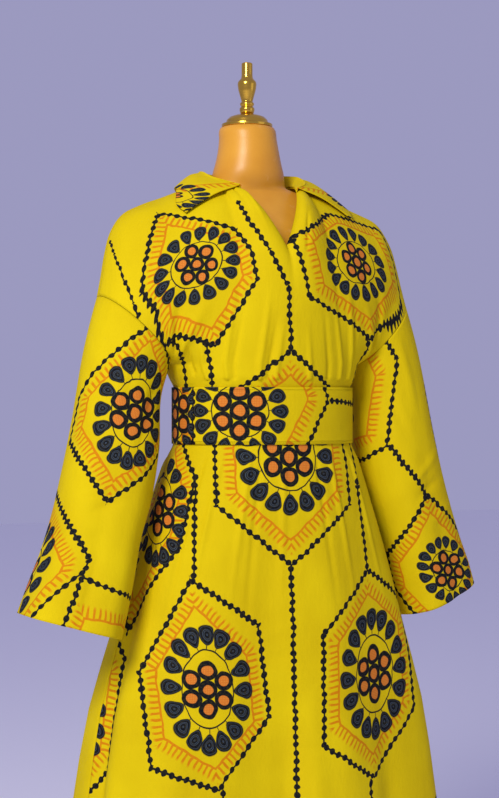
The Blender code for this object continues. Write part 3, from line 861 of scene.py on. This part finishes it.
def sleeve_grid(side):
    """Points and cut of a sleeve. Across is 0 on its outer side, down is negative."""
    u, v = grid_of(SLEEVE_GRID)
    start = ARMHOLE_GAP / SLEEVE_LENGTH
    share = start + (1.0 - start) * (1.0 - v)
    turn = 360.0 * u - 180.0
    points = sleeve_point(turn, share, side)
    points[..., 0] *= side
    if side > 0:
        points = points[:, ::-1]
    cut = middle_cut(points, zero_row=-1)
    points = creases(points, LEFT_SLEEVE_CREASES if side > 0 else RIGHT_SLEEVE_CREASES, True)
    points[:, -1] = points[:, 0]
    return points, cut


def belt_grid():
    """Points and cut of the belt, all round the waist from the middle of the back."""
    u, v = grid_of(BELT_GRID)
    z = BELT_BOTTOM_Z + (BELT_TOP_Z - BELT_BOTTOM_Z) * v
    angle = 360.0 * u - 180.0
    points = section_point(SKIRT, np.full_like(z, BELT_BOTTOM_Z), angle)
    points[..., 2] = z
    turn = np.radians(angle)
    grow = 0.5 * (CLOTH + BELT_CLOTH) + BELT_CLEAR
    points[..., 0] += grow * np.sin(turn)
    points[..., 1] -= grow * np.cos(turn)
    cut = middle_cut(points)
    points = creases(points, BELT_CREASES, True)
    points[:, -1] = points[:, 0]
    return points, cut


def collar_grid():
    """Points and cut of the collar: across from the middle back, up from the neck seam."""
    u, v = grid_of(COLLAR_GRID)
    side = np.where(u < 0.5, -1.0, 1.0)
    rows = collar_profile(np.abs(2.0 * u - 1.0))
    profile = np.stack(rows, axis=0)
    level = v * (len(rows) - 1)
    tangent = np.gradient(profile, axis=0)
    i = np.clip(np.floor(level).astype(int), 0, len(rows) - 2)
    t = (level - i)[..., None]
    r, c = np.indices(i.shape)
    below, above = (i, r, c), (i + 1, r, c)
    points = hermite(profile[below], tangent[below], profile[above], tangent[above], t)
    points[..., 0] *= side
    return points, middle_cut(points)


class Field:
    """A number in a node tree: arithmetic on it adds math nodes."""

    def __init__(self, tree, socket):
        self.tree = tree
        self.socket = socket

    def math(self, kind, *others):
        node = self.tree.nodes.new("ShaderNodeMath")
        node.operation = kind
        for place, value in enumerate((self, *others)):
            if isinstance(value, Field):
                self.tree.links.new(value.socket, node.inputs[place])
            else:
                node.inputs[place].default_value = value
        return Field(self.tree, node.outputs[0])

    def __add__(self, other):
        return self.math("ADD", other)

    def __sub__(self, other):
        return self.math("SUBTRACT", other)

    def __mul__(self, other):
        return self.math("MULTIPLY", other)

    def __truediv__(self, other):
        return self.math("DIVIDE", other)

    def size(self):
        return self.math("ABSOLUTE")

    def most(self, other):
        return self.math("MAXIMUM", other)

    def least(self, other):
        return self.math("MINIMUM", other)

    def below(self, limit, blur=0.0004):
        """1 where this is below the limit, with a soft edge."""
        node = self.tree.nodes.new("ShaderNodeMapRange")
        set_inputs(node, {"From Min": -blur, "From Max": blur, "To Min": 1.0, "To Max": 0.0})
        shifted = self - limit
        self.tree.links.new(shifted.socket, node.inputs["Value"])
        return Field(self.tree, node.outputs["Result"])

    def wave(self, pitch):
        """Distance from the middle of a repeat, 0 at each middle and half a pitch at its ends."""
        return ((self / pitch).math("FRACT") - 0.5).size() * pitch

    def choose(self, first, second):
        """The first where this is above 0, the second elsewhere."""
        above = self.math("GREATER_THAN", 0.0)
        return second + (first - second) * above


def group_of(name, inputs, outputs):
    tree = bpy.data.node_groups.new(name, "ShaderNodeTree")
    for label in inputs:
        tree.interface.new_socket(label, in_out="INPUT", socket_type="NodeSocketFloat")
    for label in outputs:
        tree.interface.new_socket(label, in_out="OUTPUT", socket_type="NodeSocketFloat")
    source = tree.nodes.new("NodeGroupInput")
    fields = [Field(tree, source.outputs[label]) for label in inputs]
    return tree, fields


def close_group(tree, results):
    sink = tree.nodes.new("NodeGroupOutput")
    for label, value in results.items():
        tree.links.new(value.socket, sink.inputs[label])


def beads(away, along):
    """A thin line strung with pointed beads, from the distance to it and along it."""
    across = (away.size() / BEAD_HALF).math("POWER", BEAD_ROUNDING)
    length = (along.wave(BEAD_PITCH) / BEAD_LONG).math("POWER", BEAD_ROUNDING)
    bead = (across + length).below(1.0, blur=0.12)
    return bead.most(away.size().below(BEAD_LINE))


def hexagon(x, y, half, up, down, corner):
    """Distance outside a pointed hexagon, and the length along its edge."""
    wide = x.size()
    apex = y.choose(up, down)
    rise = apex - corner
    slope = ((rise * rise) + (half * half)).math("SQRT")
    side = wide - half
    edge = (wide * rise + (y.size() - apex) * half) / slope
    along = (side - edge).choose(y, (wide * half - (y.size() - apex) * rise) / slope)
    return side.most(edge), along


def medallion_group():
    """Beaded hexagon, fringed hexagon, ring of leaves on a stem and a cluster of berries."""
    names = ["x", "y", "u", "v", "turn", "tilt", "lean", "lean below", "slant", "half", "up", "down"]
    names += ["corner", "aside", "above", "ring x", "ring y", "berries"]
    tree, fields = group_of("wax_medallion", names, ["ink", "orange", "core", "pale"])
    x, y, u, v, turn, tilt, lean, lean_below, slant, half, up, down = fields[:12]
    corner, aside, above, ring_x, ring_y, berries = fields[12:]
    x, y = x - u, y - v
    sine, cosine = turn.math("SINE"), turn.math("COSINE")
    x, y = x * cosine + y * sine, y * cosine - x * sine
    y = y - x * tilt
    leaned = x - y * y.choose(lean, lean_below)
    away, along = hexagon(leaned, y - leaned * slant, half, up, down, corner)
    ink = beads(away, along)
    inside = away.below(0.0)
    narrow, low, cut_back = FRINGE_SHARES
    slanted = y - leaned * slant * FRINGE_SLANT
    fringe, run = hexagon(leaned, slanted, half * narrow, up * low, down * low, corner * cut_back)
    tick = run.wave(FRINGE_PITCH).below(FRINGE_HALF) * fringe.below(FRINGE_REACH, blur=0.003)
    tick = tick * (fringe * -1.0).below(0.0)
    orange = fringe.size().below(FRINGE_LINE).most(tick) * inside

    x, y = x - aside, y - above
    px, py = x / ring_x, y / ring_y
    angle = px.math("ARCTAN2", py)
    step = 2.0 * math.pi / LEAF_COUNT
    nearest = (angle / step).math("ROUND") * step
    dir_x, dir_y = nearest.math("SINE"), nearest.math("COSINE")
    off_x, off_y = x - dir_x * ring_x, y - dir_y * ring_y
    out = off_x * dir_x + off_y * dir_y
    across = off_x * dir_y - off_y * dir_x
    out, across = out * LEAF_RING / (ring_x + ring_y), across * LEAF_RING / (ring_x + ring_y)
    taper = out / LEAF_LONG * LEAF_TAPER + 1.0
    wide = across / (taper * LEAF_HALF)
    leaf = ((out / LEAF_LONG).math("POWER", 2.0) + wide.math("POWER", 2.0)).math("SQRT")
    radius = (px * px + py * py).math("SQRT")
    stem = (radius - STEM_RING).size().below(0.016, blur=0.006)
    stalk = across.size().below(STALK_LINE)
    stalk = stalk * (radius - STALK_MIDDLE).size().below(STALK_REACH, blur=0.01)
    ink = ink.most(leaf.below(1.0, blur=0.05) * inside).most(stem * inside).most(stalk * inside)
    veins = (leaf * LEAF_VEINS).wave(1.0)
    pale = (veins - 0.34).size().below(0.05, blur=0.05) * leaf.below(0.84, blur=0.05) * inside

    bx, by = x / berries, y / berries
    far = (bx * bx + by * by).math("SQRT")
    sixth = math.pi / 3.0
    spoke = ((bx.math("ARCTAN2", by)) / sixth).math("ROUND") * sixth
    sx, sy = bx - spoke.math("SINE") * BERRY_RING, by - spoke.math("COSINE") * BERRY_RING
    berry = (sx * sx + sy * sy).math("SQRT").least(far)
    ink = ink.most(berry.below(BERRY_HALF, blur=0.0005) * inside)
    core = berry.below(BERRY_CORE, blur=0.0005) * inside
    close_group(tree, {"ink": ink, "orange": orange, "core": core, "pale": pale})
    return tree


def bead_run_group():
    """A straight string of beads between two places of the cut."""
    names = ["x", "y", "u1", "v1", "u2", "v2", "width", "height", "skew"]
    tree, fields = group_of("wax_bead_run", names, ["ink"])
    x, y, u1, v1, u2, v2, width, height, skew = fields
    dx, dy = (u2 - u1) * width, (v2 - v1) * height + (u2 - u1) * skew
    length = (dx * dx + dy * dy).math("SQRT")
    ux, uy = dx / length, dy / length
    x, y = (x - u1) * width, (y - v1) * height + (x - u1) * skew
    along = x * ux + y * uy
    away = x * uy - y * ux
    within = ((along - length * 0.5).size() - length * 0.5).below(0.0)
    close_group(tree, {"ink": beads(away, along) * within})
    return tree


def add_group(tree, group, x, y, values):
    node = tree.nodes.new("ShaderNodeGroup")
    node.node_tree = group
    tree.links.new(x.socket, node.inputs["x"])
    tree.links.new(y.socket, node.inputs["y"])
    for label, value in zip([s.name for s in node.inputs if s.name not in "xy"], values):
        node.inputs[label].default_value = value
    return {socket.name: Field(tree, socket) for socket in node.outputs}


def set_inputs(node, values):
    for name, value in values.items():
        node.inputs[name].default_value = value


def noise(tree, vector, scale, detail=2.0, rough=0.5):
    node = tree.nodes.new("ShaderNodeTexNoise")
    tree.links.new(vector, node.inputs["Vector"])
    set_inputs(node, {"Scale": scale, "Detail": detail, "Roughness": rough})
    return Field(tree, node.outputs["Fac"])


def mix_colour(tree, share, first, second):
    """Colour node: first where the share is 0, second where it is 1."""
    node = tree.nodes.new("ShaderNodeMix")
    node.data_type = "RGBA"
    tree.links.new(share.socket, node.inputs["Factor"])
    for name, value in (("A", first), ("B", second)):
        place = [s for s in node.inputs if s.name == name and s.type == "RGBA"][0]
        if isinstance(value, tuple):
            place.default_value = (*value, 1.0)
        else:
            tree.links.new(value, place)
    return [s for s in node.outputs if s.type == "RGBA"][0]


def add_bump(tree, shader, height, strength, distance):
    node = tree.nodes.new("ShaderNodeBump")
    set_inputs(node, {"Strength": strength, "Distance": distance})
    tree.links.new(height.socket, node.inputs["Height"])
    tree.links.new(node.outputs["Normal"], shader.inputs["Normal"])


def print_cotton(name, motifs, runs, edges):
    """Yellow wax-print cotton, placed on the panel's cut; edges are v and width of stitched lines."""
    made = bpy.data.materials.new(name)
    made.use_nodes = True
    tree = made.node_tree
    shader = tree.nodes["Principled BSDF"]
    uv_map = tree.nodes.new("ShaderNodeUVMap")
    uv_map.uv_map = "cut"
    cut = uv_map.outputs["UV"]
    split = tree.nodes.new("ShaderNodeSeparateXYZ")
    tree.links.new(cut, split.inputs["Vector"])
    u = Field(tree, split.outputs["X"])
    v = Field(tree, split.outputs["Y"])
    wobble_u = noise(tree, cut, scale=42.0, detail=1.0)
    shift = tree.nodes.new("ShaderNodeVectorMath")
    shift.operation = "ADD"
    tree.links.new(cut, shift.inputs[0])
    shift.inputs[1].default_value = (3.7, 1.9, 0.0)
    wobble_v = noise(tree, shift.outputs["Vector"], scale=42.0, detail=1.0)
    x = u + (wobble_u - 0.5) * PRINT_WOBBLE
    y = v + (wobble_v - 0.5) * PRINT_WOBBLE
    ink = orange = core = pale = u * 0.0
    for middle_u, middle_v, turns, *sizes in motifs:
        part = add_group(tree, MEDALLION, x, y, (middle_u, middle_v, *turns, *sizes))
        ink = ink.most(part["ink"])
        orange = orange.most(part["orange"])
        core = core.most(part["core"])
        pale = pale.most(part["pale"])
    for measure, *places in runs:
        for start, end in zip(places[:-1], places[1:]):
            ink = ink.most(add_group(tree, BEAD_RUN, x, y, (*start, *end, *measure))["ink"])

    grain = noise(tree, cut, scale=260.0, detail=2.0)
    cloud = noise(tree, cut, scale=7.0, detail=3.0)
    ground = mix_colour(tree, cloud.below(0.5, blur=0.22), YELLOW_LIGHT, YELLOW_DEEP)
    worn = (grain - 0.5) * 0.5 + 0.86
    colour = mix_colour(tree, orange * worn, ground, ORANGE_LINE)
    colour = mix_colour(tree, ink * ((grain - 0.5) * 0.12 + 0.99), colour, INK)
    colour = mix_colour(tree, pale * (grain * 1.6 - 0.2), colour, INK_PALE)
    dots = u.wave(DOT_PITCH).most(v.wave(DOT_PITCH)).below(0.00062, blur=0.0003)
    berry = mix_colour(tree, dots * 0.6, BERRY, BERRY_DOT)
    colour = mix_colour(tree, core, colour, berry)
    tree.links.new(colour, shader.inputs["Base Color"])

    shader.inputs["Specular IOR Level"].default_value = 0.06
    rough = grain * 0.14 + 0.66 - ink * 0.06
    tree.links.new(rough.socket, shader.inputs["Roughness"])
    thread = 2.0 * math.pi / THREAD
    weave = (u * thread).math("SINE") * (v * thread).math("SINE")
    stretch = tree.nodes.new("ShaderNodeMapping")
    tree.links.new(cut, stretch.inputs["Vector"])
    stretch.inputs["Scale"].default_value = (1.0, 0.35, 1.0)
    crumple = noise(tree, stretch.outputs["Vector"], scale=34.0, detail=3.0, rough=0.55)
    fine = noise(tree, cut, scale=130.0, detail=2.0)
    height = weave * 0.03 + crumple + fine * 0.22
    for place, spread in edges:
        line = (v - place).size()
        groove = line.below(spread, blur=0.0005)
        dash = u.wave(STITCH_PITCH).below(0.0010, blur=0.0004)
        height = height - groove * 0.6 + line.below(0.0004, blur=0.0003) * dash * 0.8
    add_bump(tree, shader, height, strength=0.75, distance=0.0022)
    return made


def shell(name, grid, nodes, wrap=False):
    """Smooth mesh laid on a grid of points (rows, columns), with its cut as its UV map."""
    points, cut = grid
    rows, columns = points.shape[:2]
    body = bmesh.new()
    bmesh.ops.create_grid(body, x_segments=columns - 1, y_segments=rows - 1, size=0.5)
    layer = body.loops.layers.uv.new("cut")
    for vert in body.verts:
        i = round((vert.co.x + 0.5) * (columns - 1))
        j = round((vert.co.y + 0.5) * (rows - 1))
        vert.co = points[j, i]
        for loop in vert.link_loops:
            loop[layer].uv = cut[j, i]
    if wrap:
        bmesh.ops.remove_doubles(body, verts=body.verts, dist=1e-5)
    for face in body.faces:
        face.smooth = True
    mesh = bpy.data.meshes.new(name)
    body.to_mesh(mesh)
    body.free()
    obj = bpy.data.objects.new(name, mesh)
    bpy.context.scene.collection.objects.link(obj)
    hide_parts(*nodes)
    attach(obj, "root")
    return obj


def cloth(name, grid, thick, nodes, wrap=False):
    obj = shell(name, grid, nodes, wrap)
    wall = obj.modifiers.new("wall", "SOLIDIFY")
    wall.thickness = thick
    wall.offset = 0.0
    return obj


def form_grid():
    """Rings of the form, closed at both ends."""
    u, v = grid_of(FORM_GRID)
    rings = curve_through(FORM, (v - FORM_END) / (1.0 - 2.0 * FORM_END))
    z, half, depth, middle_y = np.moveaxis(rings, -1, 0)
    closed = np.clip(np.minimum(v, 1.0 - v) / FORM_END, 0.0, 1.0)
    middle_x = by_height(CENTRE, z)[0]
    turn = 2.0 * math.pi * (u - 0.5)
    points = np.stack(
        [
            middle_x + closed * half * np.sin(turn),
            middle_y - closed * depth * np.cos(turn),
            z,
        ],
        axis=-1,
    )
    return points, middle_cut(points)


def rounded(profile, radius):
    """Profile with each inner corner turned into a short curve."""
    line = table([(0.0, profile[0][1]), *profile, (0.0, profile[-1][1])])
    out = [line[0]]
    for before, corner, after in zip(line[:-2], line[1:-1], line[2:]):
        back, ahead = before - corner, after - corner
        reach = min(radius, 0.4 * np.linalg.norm(back), 0.4 * np.linalg.norm(ahead))
        start = corner + back / np.linalg.norm(back) * reach
        end = corner + ahead / np.linalg.norm(ahead) * reach
        for t in (0.0, 0.25, 0.5, 0.75, 1.0):
            out.append((1 - t) ** 2 * start + 2 * t * (1 - t) * corner + t**2 * end)
    out.append(line[-1])
    return np.array(out)


def turned(name, profile, centre, radius, nodes):
    """Solid of revolution with eased corners."""
    line = rounded(profile, radius)[::-1]
    turn = np.linspace(-math.pi, math.pi, TURNED_STEPS + 1)[None, :]
    reach, z = line[:, 0:1], line[:, 1:2]
    points = np.stack(
        [
            centre[0] + reach * np.sin(turn),
            centre[1] - reach * np.cos(turn),
            z + 0.0 * turn,
        ],
        axis=-1,
    )
    return shell(name, (points, middle_cut(points)), nodes, wrap=True)


def plain_finish(name, colour, metallic, rough):
    """Material with its tree, its shader and the surface's own coordinates."""
    made = bpy.data.materials.new(name)
    made.use_nodes = True
    tree = made.node_tree
    shader = tree.nodes["Principled BSDF"]
    set_inputs(shader, {"Base Color": (*colour, 1.0), "Metallic": metallic, "Roughness": rough})
    place = tree.nodes.new("ShaderNodeTexCoord")
    return made, tree, shader, place.outputs["Object"]


def tan_leather():
    """Smooth tan covering of the form: cloudy colour, faint scuffs and a fine grain."""
    made, tree, shader, place = plain_finish("tan_leather", LEATHER, 0.0, 0.36)
    cloud = noise(tree, place, scale=9.0, detail=4.0, rough=0.6)
    scuff = noise(tree, place, scale=38.0, detail=5.0, rough=0.65)
    colour = mix_colour(tree, cloud.below(0.5, blur=0.2), LEATHER, LEATHER_DEEP)
    worn = ((scuff - 0.62) * 3.0).most(0.0).least(0.5)
    colour = mix_colour(tree, worn, colour, LEATHER_PALE)
    tree.links.new(colour, shader.inputs["Base Color"])
    rough = scuff * 0.22 + 0.26
    tree.links.new(rough.socket, shader.inputs["Roughness"])
    set_inputs(shader, {"Coat Weight": 0.06, "Specular IOR Level": 0.3, "Coat Roughness": 0.3})
    grain = noise(tree, place, scale=420.0, detail=2.0)
    relief = grain * 0.25 + scuff * 0.6 + cloud
    add_bump(tree, shader, relief, strength=0.35, distance=0.0012)
    return made


def brass_finish():
    """Polished brass with faint tarnish and turning marks."""
    made, tree, shader, place = plain_finish("brass_finish", BRASS, 1.0, 0.16)
    tarnish = noise(tree, place, scale=60.0, detail=4.0, rough=0.6)
    dulled = ((tarnish - 0.5) * 2.5).most(0.0).least(0.7)
    colour = mix_colour(tree, dulled, BRASS, BRASS_DEEP)
    tree.links.new(colour, shader.inputs["Base Color"])
    tree.links.new((tarnish * 0.2 + 0.08).socket, shader.inputs["Roughness"])
    marks = tree.nodes.new("ShaderNodeMapping")
    marks.inputs["Scale"].default_value = (1.0, 1.0, 60.0)
    tree.links.new(place, marks.inputs["Vector"])
    lines = noise(tree, marks.outputs["Vector"], scale=30.0, detail=2.0)
    add_bump(tree, shader, lines, strength=0.08, distance=0.0004)
    return made


def painted_steel():
    """Satin painted steel with a fine orange-peel and dulled patches."""
    made, tree, shader, place = plain_finish("painted_steel", STEEL, 0.0, 0.42)
    peel = noise(tree, place, scale=350.0, detail=1.0)
    dull = noise(tree, place, scale=12.0, detail=3.0)
    tree.links.new((dull * 0.25 + 0.3).socket, shader.inputs["Roughness"])
    colour = mix_colour(tree, dull, STEEL, STEEL_WORN)
    tree.links.new(colour, shader.inputs["Base Color"])
    add_bump(tree, shader, peel, strength=0.12, distance=0.0003)
    return made


def look_from_photo():
    """Camera at the photograph's angle, level, with the belt at the middle of the picture."""
    turn = math.radians(VIEW_AZIMUTH)
    right = Vector((math.cos(turn), math.sin(turn), 0.0))
    back = Vector((math.sin(turn), -math.cos(turn), 0.0))
    data = bpy.data.cameras.new("view")
    data.lens = VIEW_LENS
    data.sensor_width = 36.0
    data.clip_start = 0.1
    data.clip_end = 60.0
    camera = bpy.data.objects.new("view", data)
    bpy.context.scene.collection.objects.link(camera)
    aim = right * VIEW_ASIDE + Vector((0.0, 0.0, VIEW_HEIGHT))
    camera.location = aim + back * VIEW_DISTANCE
    camera.rotation_euler = (-back).to_track_quat("-Z", "Y").to_euler()
    bpy.context.scene.camera = camera


def area_light(name, place, aim, size, power, colour):
    data = bpy.data.lights.new(name, "AREA")
    data.shape = "RECTANGLE"
    data.size, data.size_y = size
    data.energy = power
    data.color = colour
    light = bpy.data.objects.new(name, data)
    bpy.context.scene.collection.objects.link(light)
    light.location = place
    light.rotation_euler = (Vector(aim) - Vector(place)).to_track_quat("-Z", "Y").to_euler()


def make_studio():
    """Plain pale floor, an even sky, a big soft light on the left and a weak fill."""
    world = bpy.context.scene.world or bpy.data.worlds.new("studio")
    bpy.context.scene.world = world
    world.use_nodes = True
    bpy.context.scene.view_settings.view_transform = "Standard"
    sky = world.node_tree.nodes["Background"]
    set_inputs(sky, {"Color": (*SKY, 1.0), "Strength": SKY_STRENGTH})
    for light in LIGHTS:
        area_light(*light)
    bpy.ops.mesh.primitive_plane_add(size=FLOOR_SIZE, location=(0.0, 0.0, 0.0))
    floor = bpy.context.object
    floor.name = "floor"
    floor.data.materials.append(plain_finish("pale_floor", FLOOR, 0.0, FLOOR_ROUGH)[0])


look_from_photo()
make_studio()
front = cloth("bodice_front_cloth", bodice_grid(False), CLOTH, ["bodice_front"])
rear = cloth("bodice_back_cloth", bodice_grid(True), CLOTH, ["bodice_back"])
skirt_front = cloth("skirt_front_cloth", skirt_grid(False), CLOTH, ["skirt_front"])
skirt_back = cloth("skirt_back_cloth", skirt_grid(True), CLOTH, ["skirt_back"])
sleeve_left = cloth("sleeve_left_cloth", sleeve_grid(1.0), CLOTH, ["sleeve_left"], wrap=True)
sleeve_right = cloth("sleeve_right_cloth", sleeve_grid(-1.0), CLOTH, ["sleeve_right"], wrap=True)
belt = cloth("belt_cloth", belt_grid(), BELT_CLOTH, ["belt"], wrap=True)
collar = cloth("collar_cloth", collar_grid(), COLLAR_CLOTH, ["collar"])

form = shell("form_body", form_grid(), ["form_torso"], wrap=True)
neck_cap = turned("brass_cap", CAP_PROFILE, CAP_CENTRE, 0.0008, ["neck_cap"])
finial = turned("brass_finial", FINIAL_PROFILE, CAP_CENTRE, 0.0030, ["finial"])
base = turned("stand_base", BASE_PROFILE, (0.0, 0.0), 0.0020, ["base_plate"])
pole = turned("stand_pole", POLE_PROFILE, (0.0, 0.0), 0.0008, ["pole"])
form.data.materials.append(tan_leather())
brass = brass_finish()
neck_cap.data.materials.append(brass)
finial.data.materials.append(brass)
steel = painted_steel()
base.data.materials.append(steel)
pole.data.materials.append(steel)

MEDALLION = medallion_group()
BEAD_RUN = bead_run_group()
DRESSING = (
    # piece, motifs, bead runs, stitched edges
    (front, BODICE_MOTIFS, BODICE_RUNS, ()),
    (rear, BACK_BODICE_MOTIFS, BACK_BODICE_RUNS, ()),
    (skirt_front, SKIRT_MOTIFS, SKIRT_RUNS, ((-0.882, 0.0012),)),
    (skirt_back, BACK_SKIRT_MOTIFS, BACK_SKIRT_RUNS, ((-0.882, 0.0012),)),
    (sleeve_left, LEFT_SLEEVE_MOTIFS, LEFT_SLEEVE_RUNS, ()),
    (sleeve_right, RIGHT_SLEEVE_MOTIFS, RIGHT_SLEEVE_RUNS, ()),
    (belt, BELT_MOTIFS, BELT_RUNS, ((0.0045, 0.0008), (0.0895, 0.0008))),
    (collar, COLLAR_MOTIFS, (), ()),
)

for piece, motifs, runs, edges in DRESSING:
    piece.data.materials.append(print_cotton(piece.name + "_print", motifs, runs, edges))
